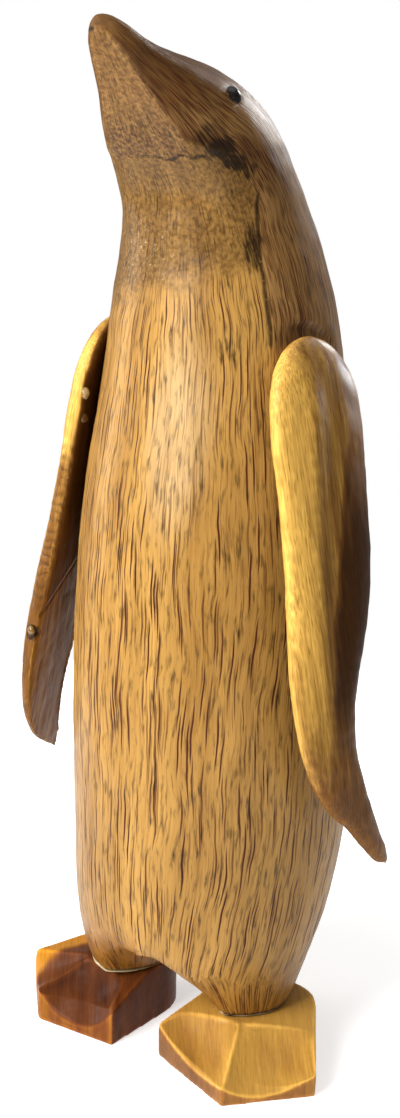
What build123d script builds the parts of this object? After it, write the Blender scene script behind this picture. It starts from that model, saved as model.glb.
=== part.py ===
from build123d import *
from collections import namedtuple
import math
import os

os.makedirs("parts", exist_ok=True)

# A penguin carved from one bamboo root, with wings and feet of plank hardwood dowelled and glued on.
# Millimetres and degrees. It faces -Y, its left is +X, and it stands on Z = 0.

# Body: the main lengths along its spine and half widths across it
leg_end_height = 15
leg_length = 75
belly_length = 150
shoulder_length = 45
neck_length = 30
nape_length = 26
crown_length = 22.7
bill_length = 43
belly_half_width = 57.6
chest_half_width = 53
shoulder_half_width = 47
neck_half_width = 42
crown_half_width = 32
brow_half_width = 27.5
bill_half_width = 19.5

# Ovals across the spine, which climbs from the leg ends to the bill. Each lies one step further along it,
# and the spine heads so many degrees forward of upright on the way there.
Oval = namedtuple("Oval", "step heading half_width front back side", defaults=[0])
body_ovals = {
    "leg_end": Oval(0, -4, 49, 24, 24, -5.5),
    "hip": Oval(leg_length * 0.4, -4, 51.5, 44, 44, -3),
    "thigh": Oval(leg_length * 0.6, -4, 56.5, 53.5, 53.5),
    "belly": Oval(belly_length * 0.35, -1.5, belly_half_width, 56, 56),
    "chest": Oval(belly_length * 0.65, -0.8, chest_half_width, 51.6, 51.6),
    "shoulder": Oval(shoulder_length, -1.8, shoulder_half_width, 46.5, 46.5),
    "neck": Oval(neck_length, 7.8, neck_half_width, 41, 42),
    "nape": Oval(nape_length, 15, 35.8, 33, 35.6),
    "crown": Oval(crown_length, 28, crown_half_width, 30.5, 30),
    "brow": Oval(21, 48, brow_half_width, 27.5, 23),
    "bill_root": Oval(19.4, 56, bill_half_width, 21, 13.5),
    "bill_middle": Oval(bill_length * 0.42, 57, 12, 13, 6.5),
    "bill_end": Oval(bill_length * 0.3, 55, 6.8, 8.2, 4),
}
leg_end_setback = -1
bill_tip_step = 6

# Chin: two flat chisel cuts that meet in a crease across the throat
throat_depth = 7.5
bill_lip = 3

# Notch between the legs, a rounded gable that flares to the front and the back
notch_offset = -3
notch_height = 43
notch_width = 50
notch_round = 5
notch_mouth_depth = 42
notch_mouth_height = 47
notch_mouth_width = 240

# Wings: ovals down the length, given by their front and rear edges, with flat inner faces that are
# glued to flats cut in the shoulders
WingSeat = namedtuple("WingSeat", "turn flare lean rise")
left_seat_size = WingSeat(9, 11, 0, 12)
right_seat_size = WingSeat(3, 10.2, 3.5, 14.5)
wing_ledge = 5
wing_seat_depth = 2.5
wing_shoulder_length = 40
wing_blade_length = 106
wing_point_length = 46
wing_thickness = 13
WingOval = namedtuple("WingOval", "step front rear crown")
wing_ovals = {
    "top": WingOval(wing_shoulder_length * 0.12, -19, 7, 8.5),
    "shoulder": WingOval(wing_shoulder_length * 0.33, -28, 16, wing_thickness - 1),
    "upper": WingOval(wing_shoulder_length * 0.55, -31, 18, wing_thickness),
    "middle": WingOval(wing_blade_length * 0.57, -34, 11, wing_thickness - 0.5),
    "waist": WingOval(wing_blade_length * 0.43, -36, -6, wing_thickness - 2.5),
    "lower": WingOval(wing_point_length * 0.57, -28, -2, 9),
    "end": WingOval(wing_point_length * 0.43, -6, 8, 7.5),
}
wing_edge_height = 3.5
wing_ridge_share = 0.6
wing_top_setback = -6
wing_tip_setback = 8
wing_tip_step = 10
wing_bevel_drop = 112
wing_bevel_slant = 36
wing_bevel_angle = 2.5

# Dowels and their holes
dowel_clearance = 0.05
dowel_end_gap = 0.5
dowel_chamfer = 0.6
wing_dowel_radius = 3
wing_dowel_in_wing = 7
wing_dowel_in_body = 15
wing_dowel_drops = {"upper": 20, "lower": 46}
foot_dowel_radius = 5
foot_dowel_in_foot = 11
foot_dowel_in_leg = 25

# Feet: where the ankle stands and how high it is, the round heel's offset outwards from it, and the
# toes, given by their turn outwards from straight ahead, reach from the ankle and height. Each web
# between two toes is gouged so many degrees deeper than the flat between its ridges.
left_ankle_height = 20
right_ankle_height = 24
left_stance = 23
right_stance = 30.5
ankle_setback = 0.5
Heel = namedtuple("Heel", "offset radius")
Toe = namedtuple("Toe", "turn reach height")
Foot = namedtuple("Foot", "ankle heel inner middle outer ridge_turn inner_hollow outer_hollow")
foot_sizes = {
    "left": Foot(
        ankle=Vector(left_stance, ankle_setback, left_ankle_height),
        heel=Heel(8, 22.5),
        inner=Toe(-36, 39, 14),
        middle=Toe(22, 53, 7.5),
        outer=Toe(65, 51.5, 11),
        ridge_turn=25,
        inner_hollow=7.5,
        outer_hollow=10,
    ),
    "right": Foot(
        ankle=Vector(-right_stance, ankle_setback, right_ankle_height),
        heel=Heel(11, 24.5),
        inner=Toe(-17, 38.5, 15),
        middle=Toe(36.5, 46.3, 16),
        outer=Toe(74, 50, 17),
        ridge_turn=40,
        inner_hollow=20,
        outer_hollow=14,
    ),
}
ridge_start = 21
gouge_lift = 1.5
toe_shoulder_turn = 45

# Glue in the ankle joints, and a drop of it inside the right wing
glue_lines = {"left": 0.4, "right": 1}
glue_drop_radius = 2.2
glue_drop_height = 1.4
glue_drop_setback = -27
glue_drop_drop = 40

# Bead eyes pegged into the head, just forward of the brow
eye_angle = 20
eye_forward = 4
eye_radius = 3.6
eye_height = 2.4
eye_sink = 0.8
eye_peg_radius = 1.5
eye_peg_length = 5
eye_clearance = 0.05

# Length that takes a cutting tool clear of the figure
CLEAR = 300
# Pull of a curve's handles that rounds it to a quarter of an oval
QUARTER_PULL = 0.5523


def walk_spine():
    """The plane of every body oval, and the point where the bill ends."""
    names = list(body_ovals)
    headings = [size.heading for size in body_ovals.values()]
    planes = {}
    y, z = leg_end_setback, leg_end_height
    for index, name in enumerate(names):
        size = body_ovals[name]
        y -= size.step * math.sin(math.radians(size.heading))
        z += size.step * math.cos(math.radians(size.heading))
        next_heading = headings[min(index + 1, len(names) - 1)]
        lean = math.radians((size.heading + next_heading) / 2)
        planes[name] = Plane((size.side, y, z), x_dir=(1, 0, 0), z_dir=(0, -math.sin(lean), math.cos(lean)))
    return planes, planes["bill_end"].origin + planes["bill_end"].z_dir * bill_tip_step


spine, bill_tip = walk_spine()


def quarter_oval(start, end):
    """Add a quarter of an oval about the sketch's middle, from one of its axes to the next."""
    from_axis = Vector(*start)
    to_axis = Vector(*end)
    Bezier(from_axis, from_axis + to_axis * QUARTER_PULL, to_axis + from_axis * QUARTER_PULL, to_axis)


def body_oval(name):
    """The outline of the body at one step of the spine."""
    size = body_ovals[name]
    with BuildSketch(spine[name]) as oval:
        with BuildLine():
            quarter_oval((size.half_width, 0), (0, size.back))
            quarter_oval((0, size.back), (-size.half_width, 0))
            quarter_oval((-size.half_width, 0), (0, -size.front))
            quarter_oval((0, -size.front), (size.half_width, 0))
        make_face()
    return oval.sketch


def on_oval(name, angle, side=1):
    """A point on a body oval, by its angle from that side of the body towards the back."""
    size = body_ovals[name]
    depth = size.back if angle > 0 else size.front
    across = side * size.half_width * math.cos(math.radians(angle))
    return spine[name].from_local_coords((across, depth * math.sin(math.radians(angle)), 0))


def notch_profile(depth, width, height):
    """The notch between the legs, cut across at one depth."""
    with BuildSketch(Plane.XZ.offset(depth)) as profile:
        with BuildLine():
            Polyline(
                (notch_offset - width / 2, 0),
                (notch_offset, height + notch_round),
                (notch_offset + width / 2, 0),
                close=True,
            )
        make_face()
        fillet(profile.vertices().sort_by(Axis.Y)[-1], notch_round)
    return profile.sketch


def wing_seat(side, size):
    """The flat that a wing is glued to: x runs to the back, z out of the body."""
    turn = math.radians(size.turn)
    flare = math.radians(size.flare)
    outward = Vector(
        side * math.cos(turn) * math.cos(flare), -math.sin(turn) * math.cos(flare), math.sin(flare)
    )
    backward = Vector(side * math.sin(turn), math.cos(turn), 0)
    upward = outward.cross(backward) * side
    contact = on_oval("shoulder", -size.turn, side) - outward * wing_seat_depth
    seat = Plane(contact + upward * size.rise, x_dir=backward, z_dir=outward)
    return seat.rotated((0, 0, -side * size.lean))


Seat = namedtuple("Seat", "plane side")
seats = {
    "left": Seat(wing_seat(1, left_seat_size), 1),
    "right": Seat(wing_seat(-1, right_seat_size), -1),
}


wing_middle = (wing_ovals["upper"].front + wing_ovals["upper"].rear) / 2
wing_half_width = (wing_ovals["upper"].rear - wing_ovals["upper"].front) / 2


def on_seat(seat, setback, drop, height=0):
    """A point by its setback behind the seat's middle, drop below its top and height over it."""
    return seat.plane.from_local_coords((setback, -seat.side * drop, height))


def mid_seat(seat, drop):
    """The seat's plane at a drop below its top, midway between the wing's edges."""
    return Plane(on_seat(seat, wing_middle, drop), x_dir=seat.plane.x_dir, z_dir=seat.plane.z_dir)


ovals = [body_oval(name) for name in body_ovals]
notch_profiles = [
    notch_profile(-notch_mouth_depth, notch_mouth_width, notch_mouth_height),
    notch_profile(0, notch_width, notch_height),
    notch_profile(notch_mouth_depth, notch_mouth_width, notch_mouth_height),
]
throat = on_oval("crown", -90) + spine["crown"].y_dir * throat_depth
neck_front = on_oval("neck", -90)
bill_under = bill_tip - spine["bill_end"].y_dir * bill_lip
past_bill = throat + (bill_under - throat).normalized() * CLEAR

with BuildPart() as body:
    loft(ovals + [Vertex(*bill_tip)])
    eye_places = {}
    for hand, seat in seats.items():
        near = on_oval("brow", eye_angle, seat.side) + spine["brow"].z_dir * eye_forward
        skin = body.faces().sort_by_distance(near)[0]
        spot = skin.closest_points(Vertex(*near))[0]
        eye_places[hand] = Plane(spot, z_dir=skin.normal_at(spot)).offset(-eye_sink)
    # Legs, cut level where the feet go on
    loft(notch_profiles, mode=Mode.SUBTRACT)
    for hand, seat in seats.items():
        with BuildSketch(Plane.XY.offset(foot_sizes[hand].ankle.Z + glue_lines[hand])):
            with Locations((notch_offset + seat.side * CLEAR / 2, 0)):
                Rectangle(CLEAR, CLEAR)
        extrude(amount=-CLEAR, mode=Mode.SUBTRACT)
    leg_ends = body.faces().filter_by(Axis.Z).filter_by(lambda face: face.normal_at().Z < 0).sort_by(Axis.X)
    leg_end = {"left": leg_ends[-1], "right": leg_ends[0]}
    # Chin and throat
    with BuildSketch(Plane.YZ):
        with BuildLine():
            Polyline(
                (throat.Y, throat.Z),
                (past_bill.Y, past_bill.Z),
                (past_bill.Y - CLEAR, past_bill.Z),
                (past_bill.Y - CLEAR, neck_front.Z),
                (neck_front.Y, neck_front.Z),
                close=True,
            )
        make_face()
    extrude(amount=CLEAR, both=True, mode=Mode.SUBTRACT)
    # Flats with arched tops, and dowel holes, for the wings
    for seat in seats.values():
        arch_radius = wing_half_width + wing_ledge
        with BuildSketch(mid_seat(seat, wing_half_width)):
            Circle(arch_radius)
            with Locations((0, -seat.side * CLEAR / 2)):
                Rectangle(2 * arch_radius, CLEAR)
        extrude(amount=CLEAR, mode=Mode.SUBTRACT)
        for drop in wing_dowel_drops.values():
            with BuildSketch(mid_seat(seat, drop)):
                Circle(wing_dowel_radius + dowel_clearance)
            extrude(amount=-wing_dowel_in_body - dowel_end_gap, mode=Mode.SUBTRACT)
    # Dowel holes for the feet
    for size in foot_sizes.values():
        with BuildSketch(Plane(size.ankle)):
            Circle(foot_dowel_radius + dowel_clearance)
        extrude(amount=foot_dowel_in_leg + dowel_end_gap, mode=Mode.SUBTRACT)
    # Eye sockets
    for place in eye_places.values():
        with BuildSketch(place):
            Circle(eye_radius + eye_clearance)
        extrude(amount=eye_radius, mode=Mode.SUBTRACT)
        with BuildSketch(place):
            Circle(eye_peg_radius + eye_clearance)
        extrude(amount=-eye_peg_length - dowel_end_gap, mode=Mode.SUBTRACT)


def wing_oval(seat, drop, size):
    """A wing cut across: an oval with its ridge nearer the rear edge."""
    ridge = size.front + (size.rear - size.front) * wing_ridge_share
    height = size.crown - wing_edge_height
    downward = seat.plane.y_dir * -seat.side
    place = Plane(on_seat(seat, ridge, drop, wing_edge_height), x_dir=seat.plane.x_dir, z_dir=downward)
    with BuildSketch(place) as oval:
        with BuildLine():
            quarter_oval((size.rear - ridge, 0), (0, height))
            quarter_oval((0, height), (size.front - ridge, 0))
            quarter_oval((size.front - ridge, 0), (0, -height))
            quarter_oval((0, -height), (size.rear - ridge, 0))
        make_face()
    return oval.sketch


def bevel_plane(seat):
    """The inner face near the tip, turned away from the body about a slanting line."""
    slant = math.radians(wing_bevel_slant)
    angle = math.radians(wing_bevel_angle)
    downward = seat.plane.y_dir * -seat.side
    to_tip = downward * math.cos(slant) + seat.plane.x_dir * math.sin(slant)
    facing = seat.plane.z_dir * math.cos(angle) - to_tip * math.sin(angle)
    return Plane(on_seat(seat, 0, wing_bevel_drop), z_dir=facing)


def make_wing(seat):
    """A wing: a crowned blade, planed flat to its seat, bevelled inside near the tip and drilled. It is made
    lying on the bench, and then moved to its seat."""
    bench = Seat(Plane.XY, seat.side)
    drop = 0
    sections = [Vertex(*on_seat(bench, wing_top_setback, drop, wing_edge_height))]
    for size in wing_ovals.values():
        drop += size.step
        sections.append(wing_oval(bench, drop, size))
    drop += wing_tip_step
    sections.append(Vertex(*on_seat(bench, wing_tip_setback, drop, wing_edge_height)))
    with BuildPart() as wing:
        loft(sections)
        for inner_face in (bench.plane, bevel_plane(bench)):
            with BuildSketch(inner_face):
                Rectangle(2 * CLEAR, 2 * CLEAR)
            extrude(amount=-CLEAR, mode=Mode.SUBTRACT)
        for dowel_drop in wing_dowel_drops.values():
            with BuildSketch(mid_seat(bench, dowel_drop)):
                Circle(wing_dowel_radius + dowel_clearance)
            extrude(amount=wing_dowel_in_wing + dowel_end_gap, mode=Mode.SUBTRACT)
    wing.part.move(Location(seat.plane))
    return wing


def make_dowel(place, radius, inward, outward):
    """A dowel with chamfered ends, reaching inward and outward of a plane."""
    with BuildPart() as dowel:
        with BuildSketch(place.offset(-inward)):
            Circle(radius)
        extrude(amount=inward + outward)
        chamfer(dowel.edges().filter_by(GeomType.CIRCLE), dowel_chamfer)
    return dowel


def toe_point(hand, turn, reach, height=0):
    """A point round the ankle, by its turn outwards from straight ahead and its reach."""
    ankle = foot_sizes[hand].ankle
    across = seats[hand].side * reach * math.sin(math.radians(turn))
    return Vector(ankle.X + across, ankle.Y - reach * math.cos(math.radians(turn)), height)


def upper_side(first, second, third):
    """The plane through three points, facing up."""
    normal = (second - first).cross(third - first)
    return Plane(first, z_dir=normal if normal.Z > 0 else -normal)


def gouge(start, first, second, hollow):
    """The cone of a gouge cut from a point that leaves ridges along two lines: its plane and slope."""
    one = (first - start).normalized()
    two = (second - start).normalized()
    middle = (one + two).normalized()
    spread = math.radians(one.get_angle(two)) / 2
    dip = math.radians(hollow)
    tilt = math.atan2(math.cos(dip) - math.cos(spread), math.sin(dip))
    upward = upper_side(start, first, second).z_dir
    axis = middle * math.cos(tilt) + upward * math.sin(tilt)
    return Plane(start, z_dir=axis), math.tan(tilt + dip)


# A gouge's cone stands on its point
GOUGE_ALIGN = (Align.CENTER, Align.CENTER, Align.MIN)


def make_foot(hand):
    """A foot sawn to a five-sided plan, planed down to its toes, with two webs gouged between them."""
    size = foot_sizes[hand]
    ankle = size.ankle
    toes = [toe_point(hand, *toe) for toe in (size.inner, size.middle, size.outer)]
    start = toe_point(hand, size.ridge_turn, ridge_start, ankle.Z + gouge_lift)
    inner_shoulder = toe_point(hand, size.inner.turn - toe_shoulder_turn, size.heel.radius, ankle.Z)
    outer_shoulder = toe_point(hand, size.outer.turn + toe_shoulder_turn, size.heel.radius, ankle.Z)
    with BuildPart() as foot:
        with BuildSketch():
            with Locations((ankle.X + seats[hand].side * size.heel.offset, ankle.Y)):
                Circle(size.heel.radius)
            with BuildLine():
                Polyline(*[(toe.X, toe.Y) for toe in toes], close=True)
            make_face()
            make_hull()
        extrude(amount=ankle.Z)
        for toe, shoulder in ((toes[0], inner_shoulder), (toes[2], outer_shoulder)):
            with BuildSketch(upper_side(start, toe, shoulder)):
                Rectangle(CLEAR, CLEAR)
            extrude(amount=CLEAR, mode=Mode.SUBTRACT)
        for first, second, hollow in (
            (toes[0], toes[1], size.inner_hollow),
            (toes[1], toes[2], size.outer_hollow),
        ):
            place, slope = gouge(start, first, second, hollow)
            with Locations(place):
                Cone(0, CLEAR * slope, CLEAR, align=GOUGE_ALIGN, mode=Mode.SUBTRACT)
        with BuildSketch(Plane(ankle)):
            Circle(foot_dowel_radius + dowel_clearance)
        extrude(amount=-foot_dowel_in_foot - dowel_end_gap, mode=Mode.SUBTRACT)
    return foot


def make_ankle_glue(hand):
    """The film of glue that fills the joint between leg and foot."""
    with BuildPart() as glue:
        extrude(leg_end[hand], amount=glue_lines[hand], dir=(0, 0, -1))
        with BuildSketch(Plane(foot_sizes[hand].ankle)):
            Circle(foot_dowel_radius + dowel_clearance)
        extrude(amount=glue_lines[hand], mode=Mode.SUBTRACT)
    return glue


def add_dome(place, radius, height):
    """Add a shallow dome, standing on a plane, to the piece that is being built."""
    ball_radius = (radius**2 + height**2) / (2 * height)
    with Locations(place.offset(height - ball_radius)):
        Sphere(ball_radius)
    split(bisect_by=place, keep=Keep.TOP)


def make_eye(place):
    """A domed bead on a peg."""
    with BuildPart() as eye:
        add_dome(place, eye_radius, eye_height)
        with BuildSketch(place):
            Circle(eye_peg_radius)
        extrude(amount=-eye_peg_length)
    return eye


def make_glue_drop(seat):
    """A drop of glue on the inner face of a wing."""
    place = Plane(
        on_seat(seat, glue_drop_setback, glue_drop_drop), x_dir=seat.plane.x_dir, z_dir=-seat.plane.z_dir
    )
    with BuildPart() as drop:
        add_dome(place, glue_drop_radius, glue_drop_height)
    return drop


pieces = {"body": body}
for hand, seat in seats.items():
    pieces[f"{hand}_wing"] = make_wing(seat)
    for end, drop in wing_dowel_drops.items():
        pieces[f"{hand}_wing_{end}_dowel"] = make_dowel(
            mid_seat(seat, drop), wing_dowel_radius, wing_dowel_in_body, wing_dowel_in_wing
        )
    pieces[f"{hand}_foot"] = make_foot(hand)
    pieces[f"{hand}_ankle_glue"] = make_ankle_glue(hand)
    pieces[f"{hand}_foot_dowel"] = make_dowel(
        Plane(foot_sizes[hand].ankle), foot_dowel_radius, foot_dowel_in_foot, foot_dowel_in_leg
    )
    pieces[f"{hand}_eye"] = make_eye(eye_places[hand])
pieces["right_wing_glue_drop"] = make_glue_drop(seats["right"])

# The origin goes under the middle of the figure's box
box = Compound([piece.part for piece in pieces.values()]).bounding_box()
to_origin = Location((-box.center().X, -box.center().Y, -box.min.Z))
for name, piece in pieces.items():
    piece.part.move(to_origin)
    piece.part.label = name
    export_step(piece.part, f"parts/{name}.step")
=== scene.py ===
"""A carved penguin: bamboo root body, plank wood wings and feet, bead eyes and glue at the joints."""

import math
from functools import partial

import bmesh
import bpy
import numpy as np
from mathutils import Matrix, Vector, noise


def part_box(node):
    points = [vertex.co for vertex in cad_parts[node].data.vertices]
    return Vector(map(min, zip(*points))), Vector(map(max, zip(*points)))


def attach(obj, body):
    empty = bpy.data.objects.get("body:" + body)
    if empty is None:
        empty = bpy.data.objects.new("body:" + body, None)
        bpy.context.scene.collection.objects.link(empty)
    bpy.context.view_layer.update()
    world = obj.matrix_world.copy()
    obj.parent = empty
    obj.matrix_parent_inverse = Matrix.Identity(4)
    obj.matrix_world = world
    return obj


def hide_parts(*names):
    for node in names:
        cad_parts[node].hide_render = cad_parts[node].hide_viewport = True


bl_info = {
    "name": "Carved Penguin",
    "version": (1, 0, 0),
    "blender": (4, 5, 0),
    "location": "View3D > Sidebar > Penguin",
    "description": "Carves, colours and lights a wooden penguin around its CAD frame",
    "category": "Object",
}

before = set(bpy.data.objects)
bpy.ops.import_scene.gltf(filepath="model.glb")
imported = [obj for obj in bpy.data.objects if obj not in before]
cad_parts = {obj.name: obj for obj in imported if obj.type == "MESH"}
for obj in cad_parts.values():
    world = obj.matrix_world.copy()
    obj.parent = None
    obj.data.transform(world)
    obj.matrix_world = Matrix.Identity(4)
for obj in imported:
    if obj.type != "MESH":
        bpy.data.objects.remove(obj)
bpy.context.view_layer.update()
MM = 0.001
# Height of the camera's frame in pixels
PICTURE_HEIGHT = 1118


def linear(hex_colour):
    """Turns an sRGB hex colour into linear red, green, blue and alpha."""
    parts = [int(hex_colour[i : i + 2], 16) / 255 for i in (1, 3, 5)]
    return [p / 12.92 if p <= 0.04045 else ((p + 0.055) / 1.055) ** 2.4 for p in parts] + [1.0]


def colour_size(name, description, default):
    """A colour that a user can change."""
    return bpy.props.FloatVectorProperty(
        name=name, description=description, default=linear(default), subtype="COLOR", size=4, min=0, max=1
    )


def length_size(name, description, default):
    """A length that a user can change."""
    return bpy.props.FloatProperty(
        name=name, description=description, default=default, unit="LENGTH", subtype="DISTANCE", precision=5
    )


def angle_size(name, description, degrees):
    """An angle that a user can change."""
    return bpy.props.FloatProperty(name=name, description=description, default=math.radians(degrees), subtype="ANGLE")


class PenguinSizes(bpy.types.PropertyGroup):
    """Sizes of the carving marks."""

    body_grid: length_size("Body grid", "Spacing of the carved body's surface points", 1.35 * MM)
    wing_grid: length_size("Wing grid", "Spacing of a carved wing's surface points", 0.8 * MM)
    foot_grid: length_size("Foot grid", "Spacing of a carved foot's surface points", 0.6 * MM)
    carving_depth: length_size("Carving depth", "Depth of the hand carving's unevenness", 0.3 * MM)
    glue_bulge: length_size("Glue bulge", "How far the glue stands out of a joint", 0.5 * MM)


class PenguinColours(bpy.types.PropertyGroup):
    """Colours of the woods, the glue and the eyes."""

    trunk: colour_size("Trunk", "Usual colour of the bare bamboo root", "#B08340")
    root_dash: colour_size("Root dashes", "Fibre bundles cut open by the knife", "#4A1C06")
    # Paler wood down the breast, with a painted sheen
    pale_sheen_front: colour_size("Pale front", "Paler wood down the breast", "#D2B180")
    neck: colour_size("Neck", "Smooth rind left on the neck", "#7A582A")
    fleck: colour_size("Flecks", "Pale flecks in the rind", "#D9B98A")
    chin: colour_size("Chin", "Sawn end grain under the bill", "#8C6534")
    head: colour_size("Head", "Stained brown head", "#6A4720")
    nape: colour_size("Nape", "Grey brown wood behind the neck", "#906A3C")
    leg_end: colour_size("Leg ends", "Darker, oiled ends of the legs", "#8E5A16")
    stain: colour_size("Stains", "Dark stains, checks and the joint line", "#100500")
    wing_pale: colour_size("Wing sapwood", "Yellow front of a wing", "#CA9C49")
    wing_mid: colour_size("Wing middle", "Wood between sapwood and heartwood", "#6E471C")
    wing_dark: colour_size("Wing heartwood", "Brown rear of a wing", "#3E2307")
    foot_pale: colour_size("Pale foot", "Sapwood foot", "#BE8E3E")
    foot_pale_mid: colour_size("Pale foot middle", "Darker bands of the sapwood foot", "#8A5A26")
    foot_pale_deep: colour_size("Pale foot pores", "Pores of the sapwood foot", "#5A3410")
    foot_gold: colour_size("Golden sapwood", "Sapwood left on the dark foot", "#B97A1C")
    foot_dark_mid: colour_size("Dark foot middle", "Wood between the dark foot's sapwood and heartwood", "#703C18")
    foot_dark: colour_size("Dark foot", "Heartwood foot", "#321407")
    glue: colour_size("Glue", "Dried glue", "#CDB98C")
    bead: colour_size("Bead", "Bead eyes", "#060505")
    dowel: colour_size("Dowel", "Turned dowels", "#B58F58")
    floor: colour_size("Floor", "Pale studio floor", "#F4F4F4")


class PenguinStage(bpy.types.PropertyGroup):
    """Where the camera stands."""

    axis_x: length_size("Axis X", "Body axis across", -1.19 * MM)
    axis_y: length_size("Axis Y", "Body axis along", 7.36 * MM)
    distance: length_size("Distance", "Camera's distance from the body axis", 635 * MM)
    height: length_size("Height", "Camera's height over the floor", 352 * MM)
    turn: angle_size("Turn", "Camera's turn towards the penguin's left", 33)
    tilt: angle_size("Tilt", "Camera's tilt below level", 13.1)
    roll: angle_size("Roll", "Camera's roll", 1.2)
    lens: bpy.props.FloatProperty(name="Lens", description="Focal length in millimetres", default=52.49)
    shift: bpy.props.FloatProperty(
        name="Shift", description="Sideways shift of the picture", default=-8 / PICTURE_HEIGHT
    )


def add_node(tree, kind, inputs=(), **settings):
    """Adds one node with its settings, and sets or links its inputs. A node stands for its first output."""
    node = tree.nodes.new("ShaderNode" + kind)
    for key, value in settings.items():
        if key == "stops":
            ramp = node.color_ramp
            while len(ramp.elements) < len(value):
                ramp.elements.new(1)
            for element, (position, colour) in zip(ramp.elements, value):
                element.position = position
                element.color = colour
        else:
            setattr(node, key, value)
    for key, value in dict(inputs).items():
        if isinstance(value, bpy.types.Node):
            value = value.outputs[0]
        if isinstance(value, bpy.types.NodeSocket):
            tree.links.new(value, node.inputs[key])
        else:
            node.inputs[key].default_value = value
    return node


def start_material(name):
    """A new material without nodes, and the call that adds one to it."""
    material = bpy.data.materials.new(name)
    material.use_nodes = True
    material.node_tree.nodes.clear()
    return material, partial(add_node, material.node_tree)


def per_mm(*sizes):
    """Pattern scales that make one repeat so many millimetres long on each axis."""
    return [1 / (size * MM) for size in sizes]


def colours():
    """The colours that are set now."""
    return bpy.context.scene.penguin_colours


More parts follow.
